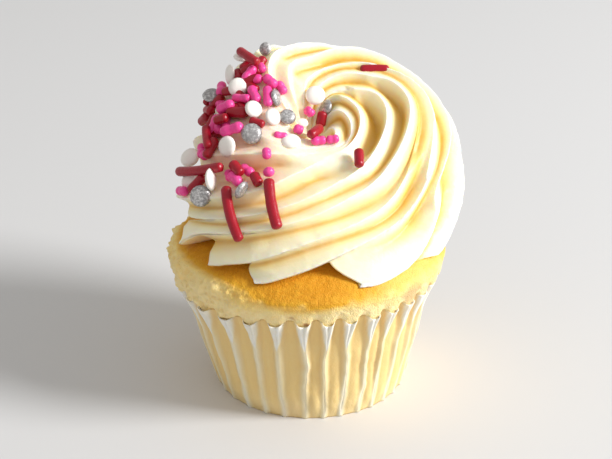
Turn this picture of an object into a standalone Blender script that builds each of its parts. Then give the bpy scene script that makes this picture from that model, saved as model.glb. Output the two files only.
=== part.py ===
"""Cupcake: a pleated paper case, the risen cake in it and a piped swirl of frosting.

Metres, +Z up. The origin is the middle of the flat foot of the case, and -Y is the front.
"""

import bpy
import numpy as np

MM = 0.001

# Paper case
CASE_FOOT_RADIUS = 24.8     # the panels between the folds, at the foot
CASE_RIM_RADIUS = 29.9      # the same panels, at the rim
CASE_HEIGHT = 32.0
CASE_WALL = 0.45
CASE_FLOOR = 0.6
PLEATS = 33
FOLD_DEPTH = ((0.0, 1.1), (19.0, 1.7), (25.0, 2.0), (32.0, 2.9))     # height, how far a fold stands out
FOLD_SHARE = ((0.0, 0.42), (21.0, 0.42), (32.0, 0.80))               # height, part of a pleat it takes
FACE_SHARE = ((0.0, 0.10), (21.0, 0.12), (32.0, 0.36))               # height, part its outer face takes
LEAN = (185.0, 90.0, 1.6)   # the side that leans out, the degrees either way, how far at the rim
DIP = 2.4                   # how much lower the rim is on that side
CASE_ROWS = (0.0, 10.0, 20.0, 26.0, 32.0)
FRONT_FOLDS = (-53.0, -39.0, -27.0, -15.5, -3.0, 7.5, 17.5, 29.0, 38.5)   # degrees from the front

# Cake: radius and height of its outline, from under its foot to the middle of its top
GAP = 0.3
CAKE_OUTLINE = ((23.4, 0.9), (24.0, 1.6), (28.3, 26.5), (29.1, 31.8), (29.5, 32.4), (32.3, 32.9),
                (32.5, 34.6), (33.6, 36.8), (33.5, 38.0), (32.8, 39.0), (31.0, 40.4), (28.0, 42.3),
                (22.0, 44.6), (12.0, 46.4))
CAKE_TOP = 47.0
CAKE_STEPS = 60
LIP_FROM = 32.0             # above this height the edge of the cake swells unevenly
LIP_SWELL = ((0, 1.6), (45, 1.2), (90, 1.6), (135, 2.6), (180, 3.4), (225, 1.8), (270, 0.4), (315, 0.6))

# Frosting: the body under its ridges, as (radius, height) from the foot over the crown into the eye
EYE_CENTRE = (1.0, 6.0)
BODY = (
    ((33.5, 44), (36.5, 48), (37.6, 55.5), (35.0, 66.5), (27.5, 74.5), (17, 73.5), (7.0, 72), (3, 65)),
    ((31.5, 46), (33.5, 50), (33.6, 59.0), (29.8, 73.0), (23.5, 81.0), (15, 79.5), (6.5, 75), (3, 66)),
    ((28.5, 46), (30.0, 50), (30.0, 58.5), (28.0, 70.0), (20.5, 82.5), (13, 80.5), (6.0, 76), (3, 66)),
    ((31.0, 45), (32.5, 49), (32.0, 57.5), (29.0, 70.0), (22.5, 81.5), (14, 82.0), (6.0, 77), (3, 66)),
    ((34.5, 43), (35.5, 47), (34.0, 53.0), (30.5, 61.0), (22.0, 71.0), (13, 76.0), (6.5, 74), (3, 65)),
    ((36.0, 42.3), (36.5, 45.2), (35.5, 50.2), (31.0, 57.3), (21.0, 66.0), (14, 69.0), (7.0, 69), (3, 64)),
    ((35.2, 40.6), (34.8, 43.6), (33.0, 50.0), (28.5, 56.0), (20.0, 62.5), (13, 65.5), (7.0, 67), (3, 64)),
    ((34.8, 40.4), (35.5, 43.6), (34.0, 50.0), (29.5, 56.0), (23.0, 62.5), (15, 66.5), (7.5, 68), (3, 64)),
)

# Ridges: how far round each has wound, in degrees, at these places up the body
PLACES = (0, 1, 2, 3, 3.5, 4, 4.5, 5, 5.5, 6, 7)
RIDGES = (
    (160, 175, 194, 222, 242, 257, 271, 289, 352, 398, 450),
    (175, 190, 209, 246, 269, 289, 316, 369, 387, 412, 462),
    (203, 210, 224, 269, 290, 320, 374, 394, 418, 445, 490),
    (221, 236, 261, 300, 324, 347, 385, 406, 434, 463, 510),
    (247, 260, 287, 329, 344, 370, 394, 419, 451, 482, 535),
    (287, 312, 327, 343, 378, 411, 437, 466, 497, 525, 570),
    (330, 343, 354, 368, 408, 445, 475, 508, 540, 565, 610),
    (365, 376, 390, 412, 448, 480, 510, 542, 575, 603, 650),
    (400, 412, 428, 452, 485, 514, 542, 573, 610, 640, 685),
    (436, 449, 466, 492, 520, 547, 573, 602, 645, 680, 725),
    (475, 489, 507, 535, 560, 583, 603, 628, 685, 722, 770),
)
SHORT_RIDGE = 3             # this ridge dies away half way up
SHORT_RIDGE_END = 3.5
RIDGE_LIFT = 1.4            # how far a crest stands off the body
VALLEY_SHARE = 0.47         # a valley's depth as a part of its width
VALLEY_MOST = 4.6
STEEP = (1.5, -0.42)        # how lopsided a valley is at this turn, and on the far side
STEEP_TURN = 235.0
CALM_FOOT = 4               # this valley flattens out towards its foot
# Where the piping was cut off: each crest's tip starts this far up the body, the foot of the valley
# after it climbs further along it, then falls to the next tip, straight at 1, hollower above 1
TIPS = (1.8, 2.05, 0, 0.35, 0, 0, 0, 0, 0.3, 0.8, 1.2)
FOOT_CUT = (0.4, 0.4, 1.7, 1.0, 1.6, 0.4, 0.6, 0.8, 0.9, 1.0, 1.0)
FOOT_ARCH = (1.5, 1.3, 1.0, 1.0, 0.9, 1.5, 1.5, 1.5, 1.5, 1.5, 1.5)
# Tears: the ridge, its place, and how far the crest drops from there on
TEARS = ((0, 5.86, 1.3), (1, 5.5, 1.2), (4, 3.05, 0.8), (10, 5.25, 0.7))
TEAR_REACH = 1.2            # places over which the surface comes back after a tear
FROSTING_LEAST = 0.35       # its thinnest edge on the cake
SAG = 0.45                  # added over the cake for the flat facets of the underside
COLUMNS_PER_RIDGE = 7
ROWS = 28
UNDER_SHARES = (0.12, 0.42, 0.64, 0.77, 0.89, 0.985)


def clear_scene():
    for thing in list(bpy.data.objects):
        bpy.data.objects.remove(thing, do_unlink=True)


def material(name, color, roughness):
    made = bpy.data.materials.new(name)
    made.use_nodes = True
    shader = made.node_tree.nodes["Principled BSDF"]
    shader.inputs["Base Color"].default_value = (*color, 1.0)
    shader.inputs["Roughness"].default_value = roughness
    return made


def mesh_object(name, points, faces, home, look):
    mesh = bpy.data.meshes.new(name)
    mesh.from_pydata([tuple(p) for p in np.asarray(points) * MM], [], faces)
    mesh.validate()
    made = bpy.data.objects.new(name, mesh)
    made.data.materials.append(look)
    home.objects.link(made)
    return made


def spline(t, a, b, c, d):
    """The curve from b to c that passes smoothly through a, b, c and d."""
    return 0.5 * (2 * b + (c - a) * t + (2 * a - 5 * b + 4 * c - d) * t**2
                  + (3 * b - a - 3 * c + d) * t**3)


def smooth(t):
    t = np.clip(t, 0.0, 1.0)
    return t * t * (3 - 2 * t)


def ring_faces(rows, columns):
    """Quads between closed rows of points, the rows running up and the columns round."""
    faces = []
    for row in range(rows - 1):
        for column in range(columns):
            after = (column + 1) % columns
            faces.append((row * columns + column, row * columns + after,
                          (row + 1) * columns + after, (row + 1) * columns + column))
    return faces


def fan(row_start, columns, centre, up):
    faces = []
    for column in range(columns):
        a, b = row_start + column, row_start + (column + 1) % columns
        faces.append((a, b, centre) if up else (b, a, centre))
    return faces


# ---- paper case

def fold_angles():
    """The middle of each fold, in degrees round from +X: the front ones by hand, the rest even."""
    front = [270.0 + a for a in FRONT_FOLDS]
    rest = PLEATS - len(front)
    step = (360.0 - (front[-1] - front[0])) / (rest + 1)
    return front + [front[-1] + step * (i + 1) for i in range(rest)]


def at_height(table, height):
    return float(np.interp(height, [h for h, _ in table], [v for _, v in table]))


def lean_side(turn):
    middle, reach, _ = LEAN
    return smooth((reach - np.abs((turn - middle + 180) % 360 - 180)) / 70.0)


def lean(turn, height):
    """How far the case leans out on one side, growing evenly up to its rim."""
    return LEAN[2] * lean_side(turn) * np.clip(height / CASE_HEIGHT, 0, 1)


def case_row(height, offset):
    """One closed row of the case: a panel and a fold for each pleat, moved out by offset."""
    panel = CASE_FOOT_RADIUS + (CASE_RIM_RADIUS - CASE_FOOT_RADIUS) * height / CASE_HEIGHT
    depth, share, face = (at_height(t, height) for t in (FOLD_DEPTH, FOLD_SHARE, FACE_SHARE))
    angles = fold_angles()
    points = []
    for i, middle in enumerate(angles):
        leaning = panel + lean(middle, height)
        before = (middle - angles[i - 1]) % 360.0
        after = (angles[(i + 1) % len(angles)] - middle) % 360.0
        corners = ((middle - before * share / 2, 0), (middle - before * face / 2, depth),
                   (middle + after * face / 2, depth), (middle + after * share / 2, 0))
        for angle, out in corners:
            radius, turn = leaning + out + offset, np.radians(angle)
            level = height * (1 - DIP / CASE_HEIGHT * lean_side(middle))
            points.append((radius * np.cos(turn), radius * np.sin(turn), level))
    return points


def make_case(home, look):
    points = []
    for height in CASE_ROWS:
        points += case_row(height, CASE_WALL / 2)
    for height in CASE_ROWS[:0:-1]:
        points += case_row(height, -CASE_WALL / 2)
    inner = np.array(case_row(0.0, -CASE_WALL / 2))
    inner[:, 2] = CASE_FLOOR
    points += [tuple(p) for p in inner]
    columns, rows = 4 * PLEATS, 2 * len(CASE_ROWS)
    faces = ring_faces(rows, columns)
    bottom, floor = rows * columns, rows * columns + 1
    points += [(0, 0, 0), (0, 0, CASE_FLOOR)]
    faces += fan(0, columns, bottom, False)
    faces += fan((rows - 1) * columns, columns, floor, True)
    return mesh_object("paper_case", points, faces, home, look)


# ---- cake

def swell(angle):
    """How far the edge of the cake stands out beyond its outline, smoothly round from hand sizes."""
    sizes = np.array([w for _, w in LIP_SWELL])
    sector = (np.asarray(angle) % 360.0) / 45.0
    i = np.floor(sector).astype(int) % 8
    t = smooth(sector - np.floor(sector))
    return sizes[i] * (1 - t) + sizes[(i + 1) % 8] * t


def make_cake(home, look):
    """Rows round the outline from foot to top. Above the case each row is moved out by the swell."""
    turns = [360.0 * i / CAKE_STEPS for i in range(CAKE_STEPS)]
    points = []
    for radius, height in CAKE_OUTLINE:
        above = float(smooth((height - LIP_FROM) / 1.4))
        part = above * float(smooth((radius - 24) / 9))
        for turn in turns:
            out = radius + swell(turn) * part + lean(turn, height) * (1 - above)
            down = DIP * lean_side(turn) * smooth(height / 30.0) * (1 - smooth((height - 33.5) / 5.0))
            points.append((out * np.cos(np.radians(turn)), out * np.sin(np.radians(turn)), height - down))
    faces = ring_faces(len(CAKE_OUTLINE), CAKE_STEPS)
    points += [(0.0, 0.0, CAKE_OUTLINE[0][1]), (0.0, 0.0, CAKE_TOP)]
    faces += fan(0, CAKE_STEPS, len(points) - 2, False)
    faces += fan((len(CAKE_OUTLINE) - 1) * CAKE_STEPS, CAKE_STEPS, len(points) - 1, True)
    return mesh_object("cake", points, faces, home, look)


def cake_height(x, y):
    """Height of the cake's top over a point: its radius less the swell there, read off the outline."""
    outline = [p for p in CAKE_OUTLINE if p[1] >= 36.8][::-1]
    far = np.hypot(x, y)
    swollen = swell(np.degrees(np.arctan2(y, x)))
    radius = far
    for _ in range(8):
        radius = far - swollen * smooth((radius - 24) / 9)
    return np.interp(radius, [0.0] + [r for r, _ in outline], [CAKE_TOP] + [z for _, z in outline])


# ---- frosting

def body_point(turn, place):
    """A point of the body under the ridges: turn in degrees round the eye, place from foot to eye."""
    table = np.array(BODY, float)
    sector = (turn % 360.0) / 45.0
    first, across = np.floor(sector).astype(int), (sector % 1.0)[..., None]
    row = np.clip(np.floor(place).astype(int), 0, 6)
    part = (place - row)[..., None]

    def outline(which):
        at = [table[which % 8, np.clip(row + k, 0, 7)] for k in (-1, 0, 1, 2)]
        return spline(part, *at)

    radius_height = spline(across, *[outline(first + k) for k in (-1, 0, 1, 2)])
    radius, height, angle = radius_height[..., 0], radius_height[..., 1], np.radians(turn)
    return np.stack([EYE_CENTRE[0] + radius * np.cos(angle),
                     EYE_CENTRE[1] + radius * np.sin(angle), height], -1)


def ridge_turn(ridge, place):
    """A ridge's turn at a place, smooth between the given ones. After the last ridge comes the first."""
    knots, table = np.array(PLACES, float), np.array(RIDGES, float)
    table = np.concatenate([table, table[:1] + 360.0])
    slope = np.gradient(table, knots, axis=1)
    i = np.clip(np.searchsorted(knots, place, side="right") - 1, 0, len(knots) - 2)
    width = knots[i + 1] - knots[i]
    t = (place - knots[i]) / width
    return ((2 * t**3 - 3 * t**2 + 1) * table[ridge, i] + (t**3 - 2 * t**2 + t) * width * slope[ridge, i]
            + (3 * t**2 - 2 * t**3) * table[ridge, i + 1] + (t**3 - t**2) * width * slope[ridge, i + 1])


def valley_grid():
    """The ridge, the share across its valley and the place of each grid point.

    The first two columns of a valley lie on its crest, one from the crest's tip and one from the top
    of the cut beside it. The others cross the valley as its foot falls to the next tip.
    """
    count = len(RIDGES)
    c = np.arange(COLUMNS_PER_RIDGE) / COLUMNS_PER_RIDGE
    lead = 1.0 / COLUMNS_PER_RIDGE
    crossed = np.clip((c - lead) / (1 - lead), 0, 1)
    bunched = np.where(c < lead / 2, 0.0, 0.05 + 0.95 * crossed)
    ridge = np.repeat(np.arange(count), COLUMNS_PER_RIDGE)
    c, crossed, bunched = (np.tile(a, count) for a in (c, crossed, bunched))
    tip = np.array(TIPS)
    start, end = tip[ridge], tip[(ridge + 1) % count]
    top = start + np.array(FOOT_CUT)[ridge]
    foot = np.where(c < lead / 2, start, end + (top - end) * (1 - crossed) ** np.array(FOOT_ARCH)[ridge])
    even = 7 * np.linspace(0, 1, ROWS)[:, None]
    place = even + foot * np.maximum(1 - even / 3.6, 0)
    spread = smooth((place - foot) / 1.0)
    return np.broadcast_to(ridge, place.shape), bunched + (c - bunched) * spread, place


def hang_at(ridge, v, place, turn):
    """How far the surface hangs between two crests: 0 on a crest and 1 at its lowest.

    It is sin(pi u) and a V mixed, lowest near the first crest in front and near the second behind.
    The short ridge melts into the valleys beside it.
    """
    front = smooth((85.0 - np.abs((turn - STEEP_TURN + 180) % 360 - 180)) / 60.0)
    steep = STEEP[0] * front + STEEP[1] * (1 - front)

    def sag(u):
        u = (1 + steep) * u / (1 + steep * u)
        return 0.6 * np.sin(np.pi * np.clip(u, 0, 1)) ** 0.9 + 0.4 * (1 - np.abs(1 - 2 * u) ** 1.25)

    gone = smooth((place - SHORT_RIDGE_END + 0.3) / 0.6)
    merged = np.where(ridge == SHORT_RIDGE, 0.5 + 0.5 * v, 0.5 * v)
    beside = (ridge == SHORT_RIDGE) | (ridge == SHORT_RIDGE - 1)
    return np.where(beside, sag(v) * (1 - gone) + sag(merged) * gone, sag(v))


def valley_strength(ridge, turn, place):
    """The part of its full depth that a valley has: less over the calm last turn and in the eye."""
    away = np.abs((turn - 250.0 + 180.0) % 360.0 - 180.0)
    calm = smooth((0.9 - np.abs(place - 5.1)) / 0.5) * smooth((75.0 - away) / 30.0)
    strength = (1 - 0.85 * calm) * (1 - 0.5 * smooth((place - 6.2) / 0.8))
    strength = strength * (1 - 0.88 * (ridge == CALM_FOOT) * (1 - smooth((place - 0.3) / 2.4)))
    far_left = smooth((50.0 - np.abs(turn % 360 - 165)) / 20) * smooth((place - 3) / 0.7)
    return strength * (1 - 0.5 * far_left)


def tear_drop(ridge, v, place):
    """How far the surface drops just past a tear in a crest, coming back over the reach after it."""
    drop = np.zeros(place.shape)
    for number, at, depth in TEARS:
        before = (number - 1) % len(RIDGES)
        away = np.where(ridge == number, v, np.where(ridge == before, 1 - v, 1.0))
        step = smooth((place - at) / 0.06) * (1 - smooth((place - at) / TEAR_REACH))
        drop = drop + depth * step * smooth(1 - away / 0.45)
    return drop


def frosting_surface(ridge, v, place):
    """The body raised to the crests, less each valley's depth, which is a share of its own width."""
    turn = ridge_turn(ridge, place) * (1 - v) + ridge_turn(ridge + 1, place) * v
    above, below = np.minimum(place + 0.05, 7), np.maximum(place - 0.05, 0)
    body = body_point(turn, place)
    round_way = body_point(turn + 0.5, place) - body_point(turn - 0.5, place)
    up_way = body_point(turn, above) - body_point(turn, below)
    normal = np.cross(round_way, up_way)
    normal /= np.linalg.norm(normal, axis=-1, keepdims=True)
    climb = np.linalg.norm(up_way, axis=-1) / (above - below)
    wound = [ridge_turn(ridge, at) * (1 - v) + ridge_turn(ridge + 1, at) * v for at in (below, above)]
    sweep = np.linalg.norm(round_way, axis=-1) * (wound[1] - wound[0]) / (above - below)
    gap = ridge_turn(ridge + 1, place) - ridge_turn(ridge, place)
    width = gap * np.linalg.norm(round_way, axis=-1) * climb / np.hypot(climb, sweep)
    depth = np.minimum(VALLEY_SHARE * width, VALLEY_MOST)
    hang = hang_at(ridge, v, place, turn) * valley_strength(ridge, turn, place)
    points = body + normal * (RIDGE_LIFT - depth * hang - tear_drop(ridge, v, place))[..., None]
    outward = body[..., :2] - np.array(EYE_CENTRE)
    outward /= np.linalg.norm(outward, axis=-1, keepdims=True)
    tip = np.maximum(1 - 6 * np.minimum(v, 1 - v), 0) * smooth((1.2 - place) / 1.2)
    points[..., :2] += outward * (0.8 * tip)[..., None]
    lowest = cake_height(points[..., 0], points[..., 1]) + GAP + SAG + FROSTING_LEAST
    points[..., 2] = np.maximum(points[..., 2], lowest)
    return points


def underside(edge):
    """Rows from the middle out: on the cake, then leaving it to meet each foot's edge from inside."""
    made = []
    for share in UNDER_SHARES:
        flat = edge[:, :2] * share
        inward = np.hypot(edge[:, 0] - flat[:, 0], edge[:, 1] - flat[:, 1])
        lie = cake_height(flat[:, 0], flat[:, 1]) + GAP + SAG
        lifted = edge[:, 2] - FROSTING_LEAST - 0.12 * inward
        made.append(np.column_stack([flat, np.maximum(lie, lifted) if share > 0.7 else lie]))
    return made


def make_frosting(home, look):
    surface = frosting_surface(*valley_grid())
    rows = underside(surface[0]) + list(surface)
    columns = len(rows[0])
    points = [tuple(p) for row in rows for p in row]
    faces = ring_faces(len(rows), columns)
    points += [(0.0, 0.0, CAKE_TOP + GAP + SAG), (*EYE_CENTRE, float(surface[-1][:, 2].mean()) - 0.4)]
    faces += fan(0, columns, len(points) - 2, False)
    faces += fan((len(rows) - 1) * columns, columns, len(points) - 1, True)
    return mesh_object("frosting", points, faces, home, look)


def main():
    clear_scene()
    home = bpy.data.collections.new("cupcake")
    bpy.context.scene.collection.children.link(home)
    make_case(home, material("paper", (0.93, 0.88, 0.72), 0.75))
    make_cake(home, material("cake", (0.83, 0.60, 0.27), 0.85))
    make_frosting(home, material("frosting", (0.95, 0.90, 0.72), 0.45))


main()
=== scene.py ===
import math

import bpy
import numpy as np
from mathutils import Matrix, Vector


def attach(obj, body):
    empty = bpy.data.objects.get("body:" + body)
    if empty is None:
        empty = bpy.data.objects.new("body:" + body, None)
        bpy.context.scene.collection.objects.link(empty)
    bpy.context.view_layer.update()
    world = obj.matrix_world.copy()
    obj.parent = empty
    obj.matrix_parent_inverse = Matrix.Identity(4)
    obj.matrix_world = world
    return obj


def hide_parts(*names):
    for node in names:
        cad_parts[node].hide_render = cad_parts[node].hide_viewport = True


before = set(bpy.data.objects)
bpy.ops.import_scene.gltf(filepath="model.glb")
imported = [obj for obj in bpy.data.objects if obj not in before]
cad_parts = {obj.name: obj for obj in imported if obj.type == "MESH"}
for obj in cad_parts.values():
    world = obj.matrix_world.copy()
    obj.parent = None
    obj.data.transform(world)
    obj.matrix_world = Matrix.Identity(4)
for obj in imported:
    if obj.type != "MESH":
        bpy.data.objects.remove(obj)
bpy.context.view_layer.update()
mm = 0.001
print("cupcake: frame loaded")


def ease(t):
    # t*t*(3 - 2t): 0 below 0, 1 above 1, level at both ends
    t = np.clip(t, 0.0, 1.0)
    return t * t * (3 - 2 * t)


def nearSide(turn, side):
    # 1 on one side of the cake and 0 on the other: side gives its middle turn, how many degrees it
    # reaches either way, and over how many of them it fades
    middle, reach, fade = side
    return ease((reach - np.abs((turn - middle + 180) % 360 - 180)) / fade)


def unit(vectors):
    # each vector over its own length
    return vectors / np.linalg.norm(vectors, axis=-1, keepdims=True)


def curveThrough(t, a, b, c, d):
    # the curve from b to c that passes smoothly through a, b, c and d
    return 0.5 * (2 * b + (c - a) * t + (2 * a - 5 * b + 4 * c - d) * t**2
                  + (3 * b - a - 3 * c + d) * t**3)


def lumps(points, size, seed):
    # a smooth random field, about -1 to 1: random values on a lattice of this size, eased between
    where = points / size
    cell = np.floor(where).astype(np.int64)
    part = ease(where - cell)
    total = np.zeros(points.shape[:-1])
    for corner in np.ndindex(2, 2, 2):
        at = cell + np.array(corner)
        code = (at[..., 0] * 73856093) ^ (at[..., 1] * 19349663) ^ (at[..., 2] * 83492791)
        code = code ^ (seed * 7919)
        code = (code ^ (code >> 13)) * 1274126177 & 0x7FFFFFFF
        value = (code ^ (code >> 16)) % 65536 / 32768.0 - 1.0
        share = np.where(np.array(corner) == 1, part, 1 - part).prod(-1)
        total += value * share
    return total


def gridFaces(rows, columns):
    # quads between closed rows of points: rows run up, columns run round
    row, column = np.meshgrid(np.arange(rows - 1), np.arange(columns), indexing="ij")
    after = (column + 1) % columns
    return np.stack([row * columns + column, row * columns + after,
                     (row + 1) * columns + after, (row + 1) * columns + column], -1).reshape(-1, 4)


def fanFaces(start, columns, centre, facesUp):
    # triangles from one closed row to a middle point
    a = start + np.arange(columns)
    b = start + (np.arange(columns) + 1) % columns
    middle = np.full(columns, centre)
    return np.stack([a, b, middle] if facesUp else [b, a, middle], -1)


def closedFaces(rows, columns):
    # the grid's quads and a fan over each end, whose two middle points come after the grid's own
    total = rows * columns
    return [gridFaces(rows, columns), fanFaces(0, columns, total, False),
            fanFaces(total - columns, columns, total + 1, True)]


def withEnds(grid, first, last):
    # a grid of points or numbers as one list, then the two middle points' own
    ends = np.array([first, last], float)
    return np.concatenate([grid.reshape(-1, *ends.shape[1:]), ends])


def buildPiece(name, points, faces, material, replaced=None, fields=None):
    # one mesh in place: points in mm, faces as a list of index arrays, fields as one number a point
    mesh = bpy.data.meshes.new(name)
    points = np.asarray(points, np.float64).reshape(-1, 3) * mm
    corners = np.concatenate([f.reshape(-1) for f in faces])
    sizes = np.concatenate([np.full(len(f), f.shape[1]) for f in faces])
    mesh.vertices.add(len(points))
    mesh.vertices.foreach_set("co", points.astype(np.float32).ravel())
    mesh.loops.add(len(corners))
    mesh.loops.foreach_set("vertex_index", corners.astype(np.int32))
    mesh.polygons.add(len(sizes))
    mesh.polygons.foreach_set("loop_start", (np.cumsum(sizes) - sizes).astype(np.int32))
    mesh.update(calc_edges=True)
    mesh.validate()
    for label, values in (fields or {}).items():
        layer = mesh.attributes.new(label, "FLOAT", "POINT")
        layer.data.foreach_set("value", np.asarray(values, np.float32))
    mesh.shade_smooth()
    mesh.materials.append(material)
    piece = bpy.data.objects.new(name, mesh)
    bpy.context.scene.collection.objects.link(piece)
    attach(piece, "root")
    if replaced:
        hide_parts(replaced)


def newGroup(name, inputs, output, kind):
    # an empty node group: inputs are (label, number) pairs, and one output of a kind
    group = bpy.data.node_groups.new(name, "ShaderNodeTree")
    for label, value in inputs:
        socket = group.interface.new_socket(label, in_out="INPUT", socket_type="NodeSocketFloat")
        socket.default_value = value
    group.interface.new_socket(output, in_out="OUTPUT", socket_type=kind)
    return group, group.nodes.new("NodeGroupInput"), group.nodes.new("NodeGroupOutput")


def addNoise(group, given, scale, detail):
    # noise on the piece's own coordinates, at a scale the group is given
    place = group.nodes.new("ShaderNodeTexCoord")
    noise = group.nodes.new("ShaderNodeTexNoise")
    noise.inputs["Detail"].default_value = detail
    group.links.new(place.outputs["Object"], noise.inputs["Vector"])
    group.links.new(given.outputs[scale], noise.inputs["Scale"])
    return noise.outputs["Fac"]


def mottleGroup():
    # two noises at two sizes, mixed: a slow patchiness and a finer one
    group, given, result = newGroup("mottle", [("Patch Scale", 60.0), ("Fine Scale", 400.0),
                                               ("Fine Share", 0.4)], "Value", "NodeSocketFloat")
    mix = group.nodes.new("ShaderNodeMix")
    group.links.new(addNoise(group, given, "Patch Scale", 2.0), mix.inputs["A"])
    group.links.new(addNoise(group, given, "Fine Scale", 3.0), mix.inputs["B"])
    group.links.new(given.outputs["Fine Share"], mix.inputs["Factor"])
    group.links.new(mix.outputs["Result"], result.inputs["Value"])
    return group


def surfaceGroup():
    # a bump whose height is a soft noise plus a finer grain, as one normal
    group, given, result = newGroup("surfaceTexture", [
        ("Soft Scale", 150.0), ("Soft Height", 0.3), ("Grain Scale", 900.0), ("Grain Height", 0.1),
        ("Distance", 0.0004)], "Normal", "NodeSocketVector")
    both = group.nodes.new("ShaderNodeMath")
    for i, layer in enumerate(("Soft", "Grain")):
        times = group.nodes.new("ShaderNodeMath")
        times.operation = "MULTIPLY"
        group.links.new(addNoise(group, given, layer + " Scale", 3.0), times.inputs[0])
        group.links.new(given.outputs[layer + " Height"], times.inputs[1])
        group.links.new(times.outputs[0], both.inputs[i])
    bump = group.nodes.new("ShaderNodeBump")
    bump.inputs["Strength"].default_value = 1.0
    group.links.new(both.outputs[0], bump.inputs["Height"])
    group.links.new(given.outputs["Distance"], bump.inputs["Distance"])
    group.links.new(bump.outputs["Normal"], result.inputs["Normal"])
    return group


groups = {"mottle": mottleGroup(), "surface": surfaceGroup()}


def addGroup(tree, name, **values):
    # one of the shared groups, with this material's own values
    node = tree.nodes.new("ShaderNodeGroup")
    node.node_tree = groups[name]
    for label, value in values.items():
        node.inputs[label.replace("_", " ")].default_value = value
    return node


def newMaterial(name, **sockets):
    # a material whose shader has these values; an underscore stands for a space
    material = bpy.data.materials.new(name)
    material.use_nodes = True
    shader = material.node_tree.nodes["Principled BSDF"]
    for label, value in sockets.items():
        shader.inputs[label.replace("_", " ")].default_value = value
    return material, material.node_tree, shader


def readField(tree, label):
    # a number that the piece holds at each of its points
    node = tree.nodes.new("ShaderNodeAttribute")
    node.attribute_name = label
    return node.outputs["Fac"]


def rampOf(tree, value, stops):
    # a colour that goes through (value, colour) stops
    node = tree.nodes.new("ShaderNodeValToRGB")
    ramp = node.color_ramp
    while len(ramp.elements) < len(stops):
        ramp.elements.new(0.5)
    for element, (position, color) in zip(ramp.elements, stops):
        element.position = position
        element.color = (*color, 1.0)
    tree.links.new(value, node.inputs["Fac"])
    return node.outputs["Color"]


def mixColors(tree, factor, first, second):
    # the first colour at 0 and the second at 1; each is a socket or three numbers
    node = tree.nodes.new("ShaderNodeMix")
    node.data_type = "RGBA"
    for socket, value in (("Factor", factor), ("A", first), ("B", second)):
        into = [s for s in node.inputs if s.name == socket and s.enabled][0]
        if isinstance(value, bpy.types.NodeSocket):
            tree.links.new(value, into)
        else:
            into.default_value = (*value, 1.0)
    return [s for s in node.outputs if s.enabled][0]


def addSpecks(tree, color, paler, low, high, most, **mottle):
    # a second colour in specks: none of it where the mottle is under low, most where it is over high
    node = tree.nodes.new("ShaderNodeMapRange")
    tree.links.new(addGroup(tree, "mottle", **mottle).outputs["Value"], node.inputs["Value"])
    for label, number in (("From Min", low), ("From Max", high), ("To Min", 0.0), ("To Max", most)):
        node.inputs[label].default_value = number
    return mixColors(tree, node.outputs["Result"], color, paler)


def finishSurface(tree, shader, color, **bump):
    # the colour and the bumped normal, into the shader
    tree.links.new(color, shader.inputs["Base Color"])
    tree.links.new(addGroup(tree, "surface", **bump).outputs["Normal"], shader.inputs["Normal"])


def buttercreamMaterial():
    # ivory on the crests and painted shade in the valleys, yellow to ochre the lower a point hangs; on the
    # right-hand side round to the back the valley shade is painted a deeper ochre and the crests whiter;
    # satin gloss
    material, tree, shader = newMaterial(
        "buttercream", Roughness=0.40, Subsurface_Weight=0.5, Subsurface_Scale=0.0035,
        Subsurface_Radius=(1.0, 0.68, 0.22), Specular_IOR_Level=0.35)
    # the valley field paints shade into the colour: the deeper a point hangs, the darker ochre it is
    # painted
    valley, deepShadeSide = readField(tree, "valley"), readField(tree, "deepShadeSide")
    pale = rampOf(tree, valley, ((0.0, (0.96, 0.895, 0.69)), (0.5, (0.94, 0.84, 0.56)),
                                 (0.82, (0.89, 0.71, 0.35)), (1.0, (0.76, 0.47, 0.11))))
    deep = rampOf(tree, valley, ((0.0, (0.97, 0.935, 0.82)), (0.45, (0.955, 0.875, 0.62)),
                                 (0.8, (0.91, 0.68, 0.22)), (1.0, (0.72, 0.38, 0.02))))
    color = addSpecks(tree, mixColors(tree, deepShadeSide, pale, deep), (0.93, 0.82, 0.58), 0.35, 0.7, 0.25,
                      Patch_Scale=70.0, Fine_Scale=500.0, Fine_Share=0.35)
    color = mixColors(tree, readField(tree, "blush"), color, (0.93, 0.55, 0.47))
    finishSurface(tree, shader, color, Soft_Scale=260.0, Soft_Height=0.5, Grain_Scale=1500.0,
                  Grain_Height=0.16, Distance=0.0003)
    return material


def spongeMaterial():
    # golden crust above, pale crumb near the paper; "crust" is 1 on top and 0 at the paper
    material, tree, shader = newMaterial(
        "sponge", Roughness=0.6, Subsurface_Weight=0.10, Subsurface_Scale=0.003,
        Subsurface_Radius=(1.0, 0.55, 0.2), Specular_IOR_Level=0.25)
    baked = rampOf(tree, readField(tree, "crust"),
                   ((0.0, (0.95, 0.77, 0.40)), (0.3, (0.93, 0.69, 0.25)),
                    (0.7, (0.76, 0.39, 0.025)), (1.0, (0.68, 0.29, 0.01))))
    color = addSpecks(tree, baked, (0.95, 0.54, 0.05), 0.45, 0.68, 0.35,
                      Patch_Scale=110.0, Fine_Scale=900.0, Fine_Share=0.5)
    color = mixColors(tree, readField(tree, "brown"), color, (0.46, 0.20, 0.07))
    finishSurface(tree, shader, color, Soft_Scale=900.0, Soft_Height=0.4, Grain_Scale=2600.0,
                  Grain_Height=0.8, Distance=0.0004)
    return material


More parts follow.
